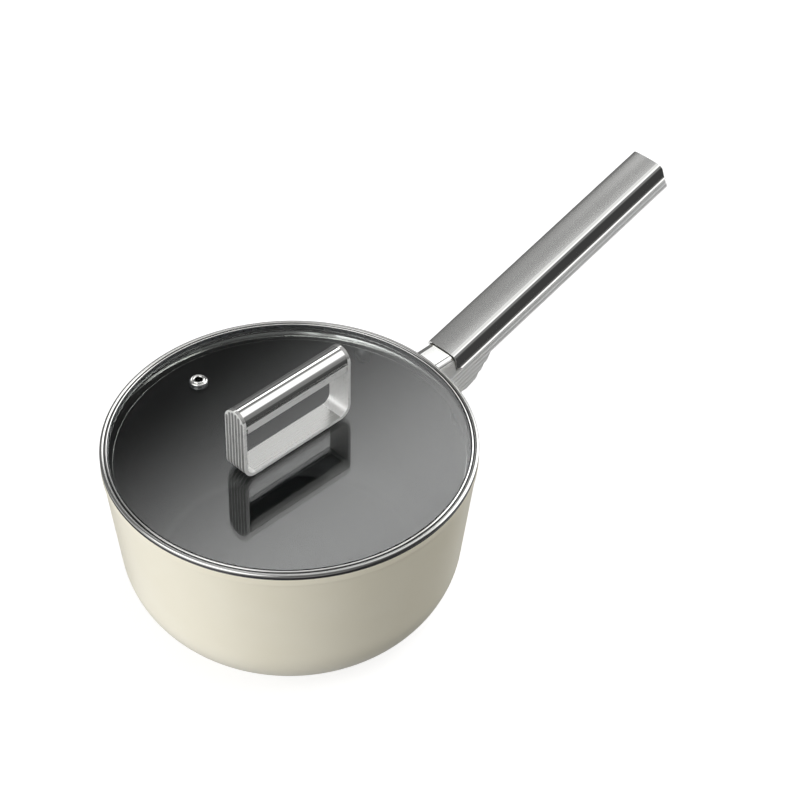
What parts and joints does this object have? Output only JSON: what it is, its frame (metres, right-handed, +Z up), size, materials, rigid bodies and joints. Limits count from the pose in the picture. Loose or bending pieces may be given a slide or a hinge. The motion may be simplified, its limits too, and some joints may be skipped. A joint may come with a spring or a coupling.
{
  "type": "saucepan with lid",
  "caption": "Saucepan with cream outside, dark non-stick inside, long steel handle and a flat glass lid with a loop handle.",
  "frame": {"origin": "centre of the base's underside, on the pan's axis", "axes": "+Z up along the pan's axis, +X along the handle, away from the pan"},
  "size_m": [0.407, 0.2064, 0.1501],
  "materials": {
    "cream_enamel": "satin",
    "stainless": "brushed",
    "cast_metal": "bead blasted",
    "black_nylon": "matte",
    "nonstick": "satin",
    "silicone": "matte",
    "clear_glass": "polished"
  },
  "bodies": {
    "pan": {"pan_body": "cream_enamel", "base_disc": "stainless", "handle_arm": "cast_metal", "handle_neck": "stainless", "handle_shell": "stainless", "handle_core": "black_nylon", "handle_end_cap": "stainless", "handle_screws": "stainless", "bracket_rivets": "nonstick"},
    "lid": {"lid_ring": "stainless", "lid_seal": "silicone", "lid_glass": "clear_glass", "vent_eyelet": "stainless", "vent_gasket": "silicone", "lid_handle_strap": "stainless", "lid_handle_grip": "stainless", "lid_grip_liner": "black_nylon", "lid_foot_pad": "silicone", "lid_screws": "stainless", "lid_screw_washers": "stainless", "lid_screw_gaskets": "silicone"}
  },
  "joints": [
    {"name": "lid_lift", "type": "slide", "parent": "pan", "child": "lid", "axis": [0, 0, 1], "range_m": [0, 0.12]}
  ]
}
